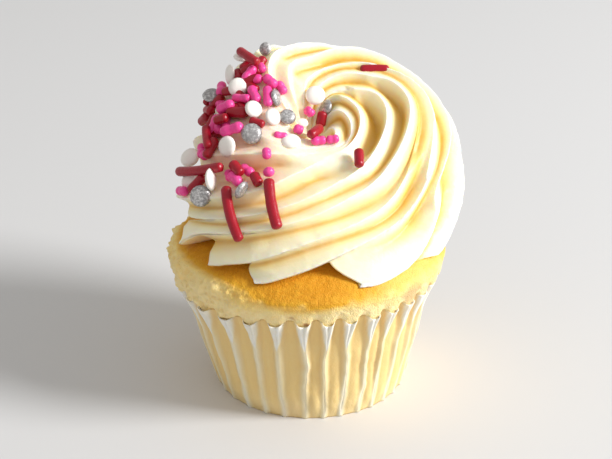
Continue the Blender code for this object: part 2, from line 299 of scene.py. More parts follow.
def paperMaterial():
    # thin paper: stained yellow where it lies on the cake, white on the folds clear of it, and along the
    # fold lines the white is partly a painted highlight
    material, tree, shader = newMaterial(
        "greaseproofPaper", Roughness=0.55, Subsurface_Weight=0.35, Subsurface_Scale=0.003,
        Subsurface_Radius=(1.0, 0.8, 0.5), Specular_IOR_Level=0.3)
    buttered = rampOf(tree, readField(tree, "unstainedAndHighlit"),
                      ((0.0, (0.97, 0.63, 0.24)), (0.35, (0.97, 0.73, 0.36)),
                       (0.75, (0.965, 0.86, 0.60)), (1.0, (0.975, 0.94, 0.81))))
    color = addSpecks(tree, buttered, (0.95, 0.72, 0.32), 0.38, 0.68, 0.25,
                      Patch_Scale=150.0, Fine_Scale=1100.0, Fine_Share=0.4)
    color = mixColors(tree, readField(tree, "stain"), color, (0.88, 0.60, 0.30))
    finishSurface(tree, shader, color, Soft_Scale=300.0, Soft_Height=0.8, Grain_Scale=2200.0,
                  Grain_Height=0.2, Distance=0.0003)
    return material


def sugarMaterial(name, color, paler, roughness, metallic=0.0, fleck=0.3):
    # pressed sugar: one colour with paler flecks, and a slightly uneven shine; on the silver discs the
    # near-white flecks are partly a speckled coating and partly painted glints
    material, tree, shader = newMaterial(name, Roughness=roughness, Metallic=metallic,
                                         Specular_IOR_Level=0.45)
    flecked = addSpecks(tree, color, paler, 0.45, 0.7, fleck,
                        Patch_Scale=300.0, Fine_Scale=1800.0, Fine_Share=0.6)
    finishSurface(tree, shader, flecked, Soft_Scale=900.0, Soft_Height=0.5, Grain_Scale=3000.0,
                  Grain_Height=0.5, Distance=0.00014)
    return material


print("cupcake: shared tools and materials ready")


swirl = {
    "eye": (1.0, 6.0),                # middle of the swirl, mm
    # the body under the ridges at each eighth of a turn, as (radius, height) from foot to eye
    "body": (
        ((33.5, 44), (36.5, 48), (37.6, 55.5), (35, 66.5), (27.5, 74.5), (17, 73.5), (7, 72), (3, 65)),
        ((31.5, 46), (33.5, 50), (33.6, 59), (29.8, 73), (23.5, 81), (15, 79.5), (6.5, 75), (3, 66)),
        ((28.5, 46), (30, 50), (30, 58.5), (28, 70), (20.5, 82.5), (13, 80.5), (6, 76), (3, 66)),
        ((31, 45), (32.5, 49), (32, 57.5), (29, 70), (22.5, 81.5), (14, 82), (6, 77), (3, 66)),
        ((34.5, 43), (35.5, 47), (34, 53), (30.5, 61), (22, 71), (13, 76), (6.5, 74), (3, 65)),
        ((36, 42.3), (36.5, 45.2), (35.5, 50.2), (31, 57.3), (21, 66), (14, 69), (7, 69), (3, 64)),
        ((35.2, 40.6), (34.8, 43.6), (33, 50), (28.5, 56), (20, 62.5), (13, 65.5), (7, 67), (3, 64)),
        ((34.8, 40.4), (35.5, 43.6), (34, 50), (29.5, 56), (23, 62.5), (15, 66.5), (7.5, 68), (3, 64))),
    # how far round each ridge has wound, in degrees, at these places up the body
    "places": (0, 1, 2, 3, 3.5, 4, 4.5, 5, 5.5, 6, 7),
    "ridges": (
        (160, 175, 194, 222, 242, 257, 271, 289, 352, 398, 450),
        (175, 190, 209, 246, 269, 289, 316, 369, 387, 412, 462),
        (203, 210, 224, 269, 290, 320, 374, 394, 418, 445, 490),
        (221, 236, 261, 300, 324, 347, 385, 406, 434, 463, 510),
        (247, 260, 287, 329, 344, 370, 394, 419, 451, 482, 535),
        (287, 312, 327, 343, 378, 411, 437, 466, 497, 525, 570),
        (330, 343, 354, 368, 408, 445, 475, 508, 540, 565, 610),
        (365, 376, 390, 412, 448, 480, 510, 542, 575, 603, 650),
        (400, 412, 428, 452, 485, 514, 542, 573, 610, 640, 685),
        (436, 449, 466, 492, 520, 547, 573, 602, 645, 680, 725),
        (475, 489, 507, 535, 560, 583, 603, 628, 685, 722, 770)),
    "shortRidge": 3,                  # this one dies away half way up
    "shortRidgeEnd": 3.5,
    "calmFoot": 4,                    # this valley flattens out towards its foot
    "lift": 1.4,                      # how far a crest stands off the body
    "valleyShare": 0.47,              # depth of a valley as a part of its width
    "valleyMost": 4.6,                # and no more than this
    "crestRound": 0.05,               # how blunt a crest is, as a part of its valley's depth
    "steep": (1.5, -0.42),            # how lopsided a valley is on the side below, and on the other
    # sides of the swirl: middle turn, how many degrees each reaches either way, and its fade
    "steepSide": (235.0, 85.0, 60.0),
    "smoothSide": (250.0, 75.0, 30.0),    # where the swirl was smoothed beside the eye
    "shallowSide": (165.0, 50.0, 20.0),   # where its upper valleys are shallow
    "deepShadeSideTurns": (25.0, 115.0, 60.0),      # where the valleys carry a deeper painted shade and the crests are painted whiter
    "blushSide": (195.0, 62.0, 45.0),     # where a patchy salmon tint lies part way up
    # where the piping was cut off: each crest's tip starts this far up the body, the foot of the valley
    # after it climbs further along it, then falls to the next tip, straight at 1, hollower above 1
    "tips": (1.8, 2.05, 0, 0.35, 0, 0, 0, 0, 0.3, 0.8, 1.2),
    "footCut": (0.4, 0.4, 1.7, 1.0, 1.6, 0.4, 0.6, 0.8, 0.9, 1.0, 1.0),
    "footArch": (1.5, 1.3, 1.0, 1.0, 0.9, 1.5, 1.5, 1.5, 1.5, 1.5, 1.5),
    "lead": 0.17,                     # the share of a valley's columns that climb its first crest
    # tears: the ridge, its place, and how far the crest drops from there on, in mm
    "tears": ((0, 5.86, 1.3), (1, 5.5, 1.2), (4, 3.05, 0.8), (10, 5.25, 0.7)),
    "tearReach": 1.2,                 # places over which the surface comes back after a tear
    "leastEdge": 0.35,                # the thinnest edge at the foot
    "gap": 0.3,                       # between the frosting and the cake
    # rows under the frosting, as shares of the way out to its foot; it leaves the cake past this share,
    # and falls away inwards from the foot at this slope
    "underShares": (0.02, 0.1, 0.4, 0.6, 0.72, 0.79, 0.86, 0.93, 0.985),
    "underLeaves": 0.7,
    "underSlope": 0.12,
    "columnsPerRidge": 36,
    "rows": 238,
}


def bodyPoint(turn, place):
    # a point of the body: curves through the eight outlines, up each outline and round between them
    table = np.array(swirl["body"], float)
    sector = (turn % 360.0) / 45.0
    first, across = np.floor(sector).astype(int), (sector % 1.0)[..., None]
    row = np.clip(np.floor(place).astype(int), 0, 6)
    part = (place - row)[..., None]

    def outline(which):
        return curveThrough(part, *[table[which % 8, np.clip(row + k, 0, 7)] for k in (-1, 0, 1, 2)])

    size = curveThrough(across, *[outline(first + k) for k in (-1, 0, 1, 2)])
    angle = np.radians(turn)
    return np.stack([swirl["eye"][0] + size[..., 0] * np.cos(angle),
                     swirl["eye"][1] + size[..., 0] * np.sin(angle), size[..., 1]], -1)


def placesRound(place):
    # the places just below and just above this one
    return np.maximum(place - 0.05, 0), np.minimum(place + 0.05, 7)


def bodyFrame(turn, place):
    # the body's point, its outward normal, and the mm that one degree round and one place up cover
    below, above = placesRound(place)
    roundWay = bodyPoint(turn + 0.5, place) - bodyPoint(turn - 0.5, place)
    upWay = (bodyPoint(turn, above) - bodyPoint(turn, below)) / (above - below)[..., None]
    return (bodyPoint(turn, place), unit(np.cross(roundWay, upWay)),
            np.linalg.norm(roundWay, axis=-1), np.linalg.norm(upWay, axis=-1))


def ridgeTurn(ridge, place):
    # a ridge's turn at a place: a smooth cubic between the given ones; after the last comes the first
    knots, table = np.array(swirl["places"], float), np.array(swirl["ridges"], float)
    table = np.concatenate([table, table[:1] + 360.0])
    slope = np.gradient(table, knots, axis=1)
    i = np.clip(np.searchsorted(knots, place, side="right") - 1, 0, len(knots) - 2)
    width = knots[i + 1] - knots[i]
    t = (place - knots[i]) / width
    return ((2 * t**3 - 3 * t**2 + 1) * table[ridge, i] + (t**3 - 2 * t**2 + t) * width * slope[ridge, i]
            + (3 * t**2 - 2 * t**3) * table[ridge, i + 1] + (t**3 - t**2) * width * slope[ridge, i + 1])


def turnAt(ridge, v, place):
    # the turn at the share v of the way from a ridge to the next
    return ridgeTurn(ridge, place) * (1 - v) + ridgeTurn(ridge + 1, place) * v


def valleyGrid(columnsPerRidge, rows):
    # the ridge, the share across its valley and the place of each grid point: the first columns stay
    # on the crest while the foot climbs it, then cross the valley as the foot falls again
    lead, count = swirl["lead"], len(swirl["ridges"])
    c = np.arange(columnsPerRidge) / columnsPerRidge
    crossed = np.clip((c - lead) / (1 - lead), 0, 1)
    bunched = np.where(c < lead, 0.03 * c / lead, 0.03 + 0.97 * crossed)
    ridge = np.repeat(np.arange(count), columnsPerRidge)
    arch, climb = np.array(swirl["footArch"])[ridge], np.array(swirl["footCut"])[ridge]
    tip = np.array(swirl["tips"])
    start, end = tip[ridge], tip[(ridge + 1) % count]
    c, crossed, bunched = (np.tile(a, count) for a in (c, crossed, bunched))
    falling = end + (start + climb - end) * (1 - crossed) ** arch
    foot = np.where(c < lead, start + climb * c / lead, falling)
    level = 7 * np.linspace(0, 1, rows)[:, None]
    place = level + foot * np.maximum(1 - level / 3.6, 0)
    even = c - 0.07 * np.sin(2 * np.pi * c)
    return np.broadcast_to(ridge, place.shape), bunched + (even - bunched) * ease(place - foot), place


def hangAt(ridge, v, place, turn):
    # how far the surface hangs between two crests, 0 on a crest and 1 at its lowest: sin(pi u)^0.9 and
    # a straight V mixed, with u = (1 + b) v / (1 + b v): with b over 0 it drops steeply off the first crest
    # and climbs gently to the second, as at the front, and the other way with b below 0, as at the back;
    # the short ridge melts into its neighbours
    front, rounding = nearSide(turn, swirl["steepSide"]), swirl["crestRound"]
    steep = swirl["steep"][0] * front + swirl["steep"][1] * (1 - front)

    def sag(u):
        u = np.clip(u, 0, 1)
        u = (1 + steep) * u / (1 + steep * u)
        sharp = 0.6 * np.sin(np.pi * u) ** 0.9 + 0.4 * (1 - np.abs(1 - 2 * u) ** 1.25)
        return (np.hypot(sharp, rounding) - rounding) / (np.hypot(1, rounding) - rounding)

    gone = ease((place - swirl["shortRidgeEnd"] + 0.3) / 0.6)
    short = swirl["shortRidge"]
    merged = np.where(ridge == short, 0.5 + 0.5 * v, 0.5 * v)
    beside = (ridge == short) | (ridge == short - 1)
    return np.where(beside, sag(v) * (1 - gone) + sag(merged) * gone, sag(v))


def valleyStrength(ridge, place, turn):
    # how much of its depth a valley keeps: little in the smoothed patch by the eye and at the calm
    # valley's foot, and half inside the eye and high on the shallow side
    smoothed = ease((0.9 - np.abs(place - 5.1)) / 0.5) * nearSide(turn, swirl["smoothSide"])
    strength = (1 - 0.85 * smoothed) * (1 - 0.5 * ease((place - 6.2) / 0.8))
    strength *= 1 - 0.88 * (ridge == swirl["calmFoot"]) * (1 - ease((place - 0.3) / 2.4))
    return strength * (1 - 0.5 * nearSide(turn, swirl["shallowSide"]) * ease((place - 3) / 0.7))


def valleyDepth(ridge, v, place, perDegree, perPlace):
    # a share of the valley's own width, measured square to the way it winds, up to a limit
    below, above = placesRound(place)
    sweep = perDegree * (turnAt(ridge, v, above) - turnAt(ridge, v, below)) / (above - below)
    gap = ridgeTurn(ridge + 1, place) - ridgeTurn(ridge, place)
    width = gap * perDegree * perPlace / np.hypot(perPlace, sweep)
    return np.minimum(swirl["valleyShare"] * width, swirl["valleyMost"])


def tearsAt(ridge, v, place, body):
    # drops at the tears: full at the tear with a ragged edge, coming back over the reach after it
    drop, count = np.zeros(place.shape), len(swirl["ridges"])
    for number, at, depth in swirl["tears"]:
        away = np.where(ridge == number, v, np.where(ridge == (number - 1) % count, 1 - v, 1.0))
        past = place - at + 0.05 * lumps(body, 0.9, 6)
        step = ease(past / 0.06) * (1 - ease(past / swirl["tearReach"]))
        drop += depth * step * ease(1 - away / 0.45)
    return drop


def frostingSurface(ridge, v, place):
    # the body raised to the crests, less the valleys and the tears, and slightly uneven; the tips of the
    # crests are drawn outwards, and nothing goes below the cake
    turn = turnAt(ridge, v, place)
    body, normal, perDegree, perPlace = bodyFrame(turn, place)
    strength, fromCrest = valleyStrength(ridge, place, turn), np.minimum(v, 1 - v)
    hang = hangAt(ridge, v, place, turn) * strength
    crisp = np.maximum(1 - 3 * fromCrest, 0) * strength
    uneven = 0.14 * lumps(body, 5.0, 3) + 0.06 * lumps(body, 1.8, 4) + 0.16 * crisp * lumps(body, 1.1, 5)
    sunk = valleyDepth(ridge, v, place, perDegree, perPlace) * hang + tearsAt(ridge, v, place, body)
    points = body + normal * (swirl["lift"] - sunk + uneven)[..., None]
    drawn = 0.8 * np.maximum(1 - 6 * fromCrest, 0) * ease((1.2 - place) / 1.2)
    points[..., :2] += unit(body[..., :2] - np.array(swirl["eye"])) * drawn[..., None]
    lowest = cakeHeight(points[..., 0], points[..., 1]) + swirl["gap"] + swirl["leastEdge"]
    points[..., 2] = np.maximum(points[..., 2], lowest)
    return points, hang


def underRows(edge):
    # each row lies on the cake, or further out slopes up to meet the foot's edge from inside
    rows = []
    for share in swirl["underShares"]:
        flat = edge[:, :2] * share
        level = cakeHeight(flat[:, 0], flat[:, 1]) + swirl["gap"]
        if share > swirl["underLeaves"]:
            fall = swirl["underSlope"] * np.hypot(*(edge[:, :2] - flat).T)
            level = np.maximum(level, edge[:, 2] - swirl["leastEdge"] - fall)
        rows.append(np.column_stack([flat, level]))
    return np.array(rows)


def makeFrosting(material):
    # the surface closed below by the under rows; "valley" is how far a point hangs, which the material
    # paints as shade, the side field is 1 where that painted shade is deeper, and "blush" is a patchy
    # salmon tint part way up the left side
    ridge, v, place = valleyGrid(swirl["columnsPerRidge"], swirl["rows"])
    surface, hang = frostingSurface(ridge, v, place)
    under = underRows(surface[0])
    rows = np.concatenate([under, surface])
    points = withEnds(rows, (0, 0, cake["top"] + swirl["gap"]),
                      (*swirl["eye"], surface[-1][:, 2].mean() - 0.4))
    # the underside is painted 0.8 of the way to the deepest valley shade
    valley = np.concatenate([np.full(under.shape[:2], 0.8), hang])
    up = np.concatenate([np.zeros(under.shape[:2]), place])
    turn = np.degrees(np.arctan2(rows[..., 1] - swirl["eye"][1], rows[..., 0] - swirl["eye"][0]))
    blush = 0.55 * nearSide(turn, swirl["blushSide"]) * ease(up - 2.7) * ease((6.6 - up) / 0.8)
    blush = blush * ease(0.7 + lumps(rows, 5.0, 7))
    buildPiece("frostingSwirl", points, closedFaces(*rows.shape[:2]), material, "frosting",
               {"valley": withEnds(valley, 1.0, 1.0), "blush": withEnds(blush, 0.0, 0.0),
                "deepShadeSide": withEnds(nearSide(turn, swirl["deepShadeSideTurns"]), 0.5, 0.5)})
    return surface


cake = {
    # radius and height from under the foot to the top
    "outline": ((23.4, 0.9), (24.0, 1.6), (28.4, 26.5), (29.3, 31.2), (31.4, 31.7), (32.3, 32.35),
                (32.9, 34.3), (33.6, 36.8), (33.5, 38), (32.8, 39), (31, 40.4), (28, 42.3), (22, 44.6),
                (12, 46.4)),
    "widestHeight": 36.8,
    "top": 47.0,
    # how far the lip swells, at each eighth of a turn
    "swell": ((0, 1.6), (45, 1.2), (90, 1.6), (135, 2.6), (180, 3.4), (225, 1.8), (270, 0.4),
              (315, 0.6)),
    "tornSide": (192.0, 66.0, 34.0),      # where crumb broke away: middle turn, reach either way, fade
    "paleSide": (325.0, 48.0, 35.0),      # where the crust is paler
    # browned spots: turn, height, size in mm, strength
    "spots": ((268, 33.0, 0.45, 0.9), (319, 35.5, 2.4, 0.45), (262, 33.4, 0.5, 0.5)),
    "columns": 660,
    "rows": 142,
}


def lipShare(radius):
    # how much of the lip's swelling reaches in to here
    return ease((radius - 24) / 9)


def swellAt(turn):
    # how far the lip swells at a turn: eased between its eight sizes
    sizes = np.array([w for _, w in cake["swell"]])
    sector = (turn % 360.0) / 45.0
    i = np.floor(sector).astype(int) % 8
    t = ease(sector - np.floor(sector))
    return sizes[i] * (1 - t) + sizes[(i + 1) % 8] * t


def cakeHeight(x, y):
    # height of the cake's top over a point: its radius less the swell it has there, read off the outline
    outline = [p for p in cake["outline"] if p[1] >= cake["widestHeight"]][::-1]
    far = np.hypot(x, y)
    swell = swellAt(np.degrees(np.arctan2(y, x)))
    radius = far
    for _ in range(8):
        radius = far - swell * lipShare(radius)
    return np.interp(radius, [0.0] + [r for r, _ in outline], [cake["top"]] + [z for _, z in outline])


def cakeShape():
    # the outline carried round: out into the paper's folds near the rim, swollen unevenly above it, and
    # following the paper's scalloped top up and down
    outline = np.array(cake["outline"], float)
    steps = np.concatenate([[0], np.cumsum(np.hypot(*np.diff(outline, axis=0).T))])
    along = np.concatenate([[0, steps[1]], np.linspace(steps[2], steps[-1], cake["rows"] - 2)])
    turns = np.arange(cake["columns"]) * 360.0 / cake["columns"]
    turn, radius = np.meshgrid(turns, np.interp(along, steps, outline[:, 0]))
    _, height = np.meshgrid(turns, np.interp(along, steps, outline[:, 1]))
    folds = standAt(turn, np.minimum(height, case["height"]))
    into = ease((height - 25.0) / 4.0) * (1 - ease((height - 32.2) / 0.8))    # 1 just under the rim
    filled = folds + 1.25 * (1 - folds / case["foldDepth"][2])
    out = np.maximum(radius, np.minimum(radius, case["rimRadius"] - 0.25) + filled * into)
    above = ease((height - 31.6) / 1.4)    # 1 once clear of the paper
    out = out + swellAt(turn) * above * lipShare(radius) + leanAt(turn, height) * (1 - above)
    scallop = (0.9 - 1.75 * np.clip(folds / 2.7, 0, 1)) * ease((height - 28.0) / 3.0)
    scallop = scallop * (1 - ease((height - 33.0) / 3.0))
    dip = case["dip"] * leanSide(turn) * ease(height / 30.0) * (1 - ease((height - 33.5) / 5.0))
    angle = np.radians(turn)
    points = np.stack([out * np.cos(angle), out * np.sin(angle), height + scallop - dip], -1)
    return points, turn, out, height


def roughen(points, turn, height, torn):
    # a fine crumb outside the paper, with larger lumps on the torn side
    rough = 0.20 * lumps(points, 3.0, 11) + 0.08 * lumps(points, 1.2, 12) + 0.10 * lumps(points, 0.6, 13)
    big = 1.2 * lumps(points, 2.4, 14) + 0.7 * lumps(points, 0.8, 15)
    rough = (rough + big * torn * ease((41.5 - height) / 4.0)) * ease((height - 31.2) / 1.5)
    angle = np.radians(turn)
    outward = np.stack([np.cos(angle) * 0.9, np.sin(angle) * 0.9, np.full_like(angle, 0.35)], -1)
    return points + outward * rough[..., None]


def makeCake(material):
    # "crust" is 1 on top and 0 by the paper, paler where the crumb is torn; "brown" marks the spots
    points, turn, out, height = cakeShape()
    torn = nearSide(turn, cake["tornSide"])
    points = roughen(points, turn, height, torn)
    crust = ease((height - 34.0 + 0.9 * lumps(points, 2.0, 16)) / 6.0)
    crust = crust * (1 - 0.5 * nearSide(turn, cake["paleSide"]))
    crust = crust * (1 - 0.85 * torn * ease((41.4 - height) / 2.6))
    brown = np.zeros_like(crust)
    for spotTurn, spotHeight, size, strength in cake["spots"]:
        across = np.radians((turn - spotTurn + 180) % 360 - 180) * out
        brown = np.maximum(brown, strength * ease(1.6 - np.hypot(across * 0.7, height - spotHeight) / size))
    buildPiece("spongeCake", withEnds(points, (0, 0, cake["outline"][0][1]), (0, 0, cake["top"])),
               closedFaces(*points.shape[:2]), material, "cake",
               {"crust": withEnds(crust, 0.0, 1.0), "brown": withEnds(brown, 0.0, 0.0)})


case = {
    "footRadius": 24.8, "rimRadius": 29.9, "height": 32.0, "wall": 0.3, "floor": 0.6,
    "pleats": 33,
    "foldDepth": (0.5, 1.6, 2.9),     # at the foot, half way up and at the rim
    "foldShare": (0.54, 0.86),        # how much of a pleat its fold takes, low down and at the rim
    "faceShare": (0.0, 0.26),         # how much of that is the fold's outer face
    "openFrom": 0.68,                 # the folds open out above this part of the height
    "patchShare": 0.72,               # how much of a pleat is white at the rim, clear of the cake
    "pillow": 0.9,                    # how far a panel bulges between folds
    "wander": 1.4,                    # degrees that a fold strays half way up
    "leanSide": (185.0, 90.0, 70.0),  # the side that leans out: turn, reach either way, fade
    "lean": 1.6,                      # how far it leans out at the rim
    "dip": 2.4,                       # how much lower the rim is on that side
    "stainSide": (259.0, 9.0, 7.0),   # a faint butter stain at the foot
    "frontFolds": (-53.0, -39.0, -27.0, -15.5, -3.0, 7.5, 17.5, 29.0, 38.5),   # turns from the front
    "columnsPerPleat": 24,
    "rows": 62,
}


def foldAngles():
    # each fold's turn: those at the front as given, the rest evenly spaced round the back
    front = [270.0 + a for a in case["frontFolds"]]
    rest = case["pleats"] - len(front)
    step = (360.0 - (front[-1] - front[0])) / (rest + 1)
    return np.array(front + [front[-1] + step * (i + 1) for i in range(rest)])


def openedAt(height):
    # 0 low down and 1 at the rim, where the folds have opened out
    return np.clip((height / case["height"] - case["openFrom"]) / (1 - case["openFrom"]), 0, 1)


def foldStand(fromFold, height):
    # how far the paper stands out: fromFold is 0 in the middle of a fold and 1 midway between two
    opened = openedAt(height)
    share = case["foldShare"][0] + (case["foldShare"][1] - case["foldShare"][0]) * opened**1.2
    face = case["faceShare"][0] + (case["faceShare"][1] - case["faceShare"][0]) * opened**1.5
    low, middle, high = case["foldDepth"]
    depth = low + (middle - low) * ease(height / case["height"] / 0.6) + (high - middle) * opened**1.3
    return ease(1 - np.clip((fromFold - face) / (share - face), 0, 1)) * depth


def standAt(turn, height):
    # the same, at any turn: the nearest fold is found first
    angles = foldAngles()
    starts = angles - angles[0]
    wrapped = (turn - angles[0]) % 360.0
    i = np.clip(np.searchsorted(starts, wrapped, side="right") - 1, 0, len(starts) - 1)
    v = (wrapped - starts[i]) / (np.append(starts[1:], 360.0) - starts)[i]
    return foldStand(np.minimum(v, 1 - v) * 2, height)


def leanSide(turn):
    # 1 on the side that leans out
    return nearSide(turn, case["leanSide"])


def leanAt(turn, height):
    # how far the paper leans out on one side, growing evenly up to the rim
    return case["lean"] * leanSide(turn) * np.clip(height / case["height"], 0, 1)


def pleatGrid():
    # the turn, the share from a fold (0) to midway between two (1) and the height of each grid point;
    # each fold strays by a slow and a quick wave, most half way up
    count, n = case["pleats"], case["columnsPerPleat"]
    heights = np.linspace(0, case["height"], case["rows"])
    number, climb = np.meshgrid(np.arange(count), heights)
    slow, quick = (np.stack([number * 37.0, climb / size, climb * 0], -1) for size in (9.0, 2.2))
    stray = case["wander"] * (lumps(slow, 1.0, 21) + 0.25 * lumps(quick, 1.0, 22))
    stray = stray * np.sin(np.pi * (climb / case["height"])) ** 0.7
    angles = foldAngles()[None] + stray
    after = np.concatenate([angles[:, 1:], angles[:, :1] + 360.0], 1)
    c = np.arange(n) / n
    v = c - 0.11 * np.sin(2 * np.pi * c)
    turn = (angles[:, :, None] + (after - angles)[:, :, None] * v).reshape(len(heights), -1)
    fromFold, height = np.meshgrid(np.tile(np.minimum(v, 1 - v) * 2, count), heights)
    return turn, fromFold, height


def caseShape(turn, fromFold, height, wrinkle):
    # radius: a cone, plus the folds, plus panels that bulge as 1 - (1 - fromFold)^2, plus wrinkles;
    # level: the height with a scalloped rim, lower on the side that leans out
    cone = case["footRadius"] + (case["rimRadius"] - case["footRadius"]) * height / case["height"]
    bulge = case["pillow"] * (1 - (1 - fromFold) ** 2) * ease(height / 5)
    bulge = bulge * (1 + 0.7 * ease((height - 27) / 5))
    crease = (0.14 * lumps(wrinkle, 1.6, 23) + 0.05 * lumps(wrinkle, 0.5, 24)) * ease(height / 3)
    radius = cone + leanAt(turn, height) + foldStand(fromFold, height) + bulge + crease
    scallop = 0.7 * ease((fromFold - 0.3) / 0.4) - 0.6 * ease(1 - fromFold / 0.4)
    level = height + scallop * ease((height - 25) / 7)
    return radius, level * (1 - case["dip"] / case["height"] * leanSide(turn))


def makeCase(material):
    # the wall is the shape moved out and in by half its thickness, joined over the rim; the white field is
    # how white the paper is:
    # softly on the folds, partly clean paper and partly a painted highlight, fully in the patches that
    # widen to the rim, and a little whiter towards the foot
    turn, fromFold, height = pleatGrid()
    wrinkle = np.stack([turn / 2.5, height / 3, height * 0], -1)
    radius, level = caseShape(turn, fromFold, height, wrinkle)
    angle, half = np.radians(turn), case["wall"] / 2
    outer, inner = (np.stack([r * np.cos(angle), r * np.sin(angle), level], -1)
                    for r in (radius + half, radius - half))
    inner[0, :, 2] = case["floor"]
    points = np.concatenate([outer, inner[::-1]])
    opened = openedAt(height)
    patch = ease((case["patchShare"] * opened**0.7 - fromFold) / 0.2) * ease(opened / 0.12)
    # white along each fold: partly paper clear of the cake, partly a painted highlight on the fold lines
    foldPaleAndHighlight = (0.62 + 0.2 * lumps(wrinkle, 3.0, 25)) * ease(1 - fromFold / 0.62) * (1 - 0.5 * opened)
    white = np.clip(np.maximum(foldPaleAndHighlight, patch) + 0.16 * ease((10.0 - height) / 10.0), 0, 1)
    stain = 0.4 * nearSide(turn, case["stainSide"]) * ease((9.0 - height) / 6.0)
    buildPiece("paperCase", withEnds(points, (0, 0, 0), (0, 0, case["floor"])),
               closedFaces(*points.shape[:2]), material, "paper_case",
               {"unstainedAndHighlit": withEnds(np.concatenate([white, white[::-1]]), 0.0, 0.0),
                "stain": withEnds(np.concatenate([stain, stain[::-1]]), 0.0, 0.0)})


sprinkles = {
    # turn and place of the middle, heading (0 round the swirl, 90 up it), length in mm, layer, radius
    "redRods": (
        (149, 4.54, 58, 7.2, 1.4, 1.2), (155, 4.2, 30, 4.5, 0, 1.3), (152, 4.5, 120, 4.5, 0, 1.2),
        (157, 3.4, 130, 3.5, 0.6, 1.2), (166, 3.5, 45, 5.5, 0.3, 1.25), (166, 3.3, 64, 5.5, 0.5, 1.3),
        (189, 4.35, 49, 6.0, 0.4, 1.45), (184, 4.45, 20, 3.5, 0, 1.2), (188, 4.0, 60, 4.0, 0.8, 1.25),
        (206, 4.7, 38, 4.0, 0, 1.1), (38, 6.55, -74, 3.8, 0.2, 1.3), (270, 5.78, 40, 5.2, 0.8, 1.25),
        (191, 3.6, -10, 7.5, 0.9, 1.15), (197, 3.55, -63, 5.5, 0.2, 1.3),
        (202.5, 3.1, 35, 17.5, 1.5, 1.25),
        (222, 3.6, -16, 4.4, 1, 1.35), (235, 3.6, -38, 3.8, 0, 1.3), (248.5, 3.14, -64, 13.5, 0.4, 1.4),
        (232, 2.7, -48, 14.0, 0.4, 1.3), (205, 2.9, 72, 5.5, 0.2, 1.3), (307, 4.55, -123, 5.4, 0.5, 1.25),
        (36, 4.6, -131, 7.2, -0.6, 1.2)),
    "pinkRods": (
        (158, 4.6, 155, 4.4, 0.3, 1.29), (158, 3.75, 22, 5.7, 0.5, 1.29), (164, 5.2, 53, 3.8, 0, 1.34),
        (165, 5.55, 46, 3.2, 0, 1.23), (183, 5.15, 0, 5.7, 0.2, 1.23), (179, 4.8, 16, 5.5, 0.3, 1.29),
        (179, 4.5, 56, 5.5, 0.5, 1.12), (181, 4.15, 76, 4.8, 0.9, 1.4), (201, 4.1, 60, 5.9, 0.9, 1.46),
        (139, 6.45, 137, 3.8, 0.3, 1.23), (234, 5.75, 21, 2.7, 0.2, 1.34), (227, 5.15, 44, 3.6, -0.4, 1.01),
        (275, 5.55, 9, 4.4, 0.1, 1.18), (297, 5.55, -11, 3.4, 0.1, 1.12), (194, 3.35, 14, 3.8, 0, 1.34),
        (232, 4.2, -51, 2.9, 0.2, 1.18), (225, 3.7, 0, 4.2, 0, 1.29), (218, 3.45, -32, 3.2, 0.3, 1.18),
        (224, 3.45, -13, 4.4, 0.3, 1.4), (240, 3.8, -51, 2.3, 0.3, 1.51), (199, 2.45, 27, 4.8, 0.2, 1.29)),
    # turn and place, then which way the face looks (azimuth, elevation), layer, radius
    "whiteDiscs": (
        (144, 4.2, 270, 88, 0.5, 2.57), (154, 4.0, 200, 5, 0.2, 2.78), (168, 4.4, 265, 28, 0.6, 2.51),
        (195, 4.75, 300, 40, 0.3, 2.35), (206, 5.2, 310, 35, 0, 2.25), (98, 6.15, 270, 38, 0.6, 2.57),
        (194, 6.4, 270, 80, 0, 1.71), (239, 5.2, 270, 72, -0.3, 2.57), (206, 3.8, 232, 22, 0.4, 2.68),
        (184, 2.95, 240, 45, 0.4, 2.68), (214, 3.2, 345, 12, 0.5, 2.89), (196, 2.7, 240, 30, 0, 2.46)),
    "silverDiscs": (
        (134, 4.55, 235, 20, 0.3, 1.82), (184, 5.4, 345, 20, 0.1, 2.25), (160, 3.6, 260, 68, 0.8, 2.46),
        (212, 4.4, 280, 30, 0.4, 2.68), (208, 5.65, 285, 45, 0.5, 2.14), (45, 6.3, 215, 30, 0.2, 2.03),
        (232, 3.3, 330, -20, 0.2, 2.46), (214, 2.8, 262, 24, 0.4, 2.73)),
    "layer": 2.2,                     # mm that one layer adds
    "discThickness": 1.9,
    # how many more rods lie under the pile, and the least and most of each of their values
    "under": 20,
    "underRanges": ((146, 190), (3.3, 4.9), (0, 180), (4.0, 6.0), (-0.2, 0.15), (1.15, 1.35)),
    "seed": 5,
    "roundness": {"redRods": 0.7, "pinkRods": 1.0},
    "waist": {"redRods": 0.0, "pinkRods": 0.12},
    "rings": 20,
    "sides": 18,
}


def reliefAt(surface, turn, place):
    # how far the finished frosting stands off the body here, read from its nearest point
    at, normal, _, _ = bodyFrame(turn, place)
    flat = at.reshape(-1, 3)
    nearest = np.array([np.argmin(((surface - p) ** 2).sum(-1)) for p in flat])
    return ((surface[nearest] - flat) * normal.reshape(-1, 3)).sum(-1).reshape(turn.shape)


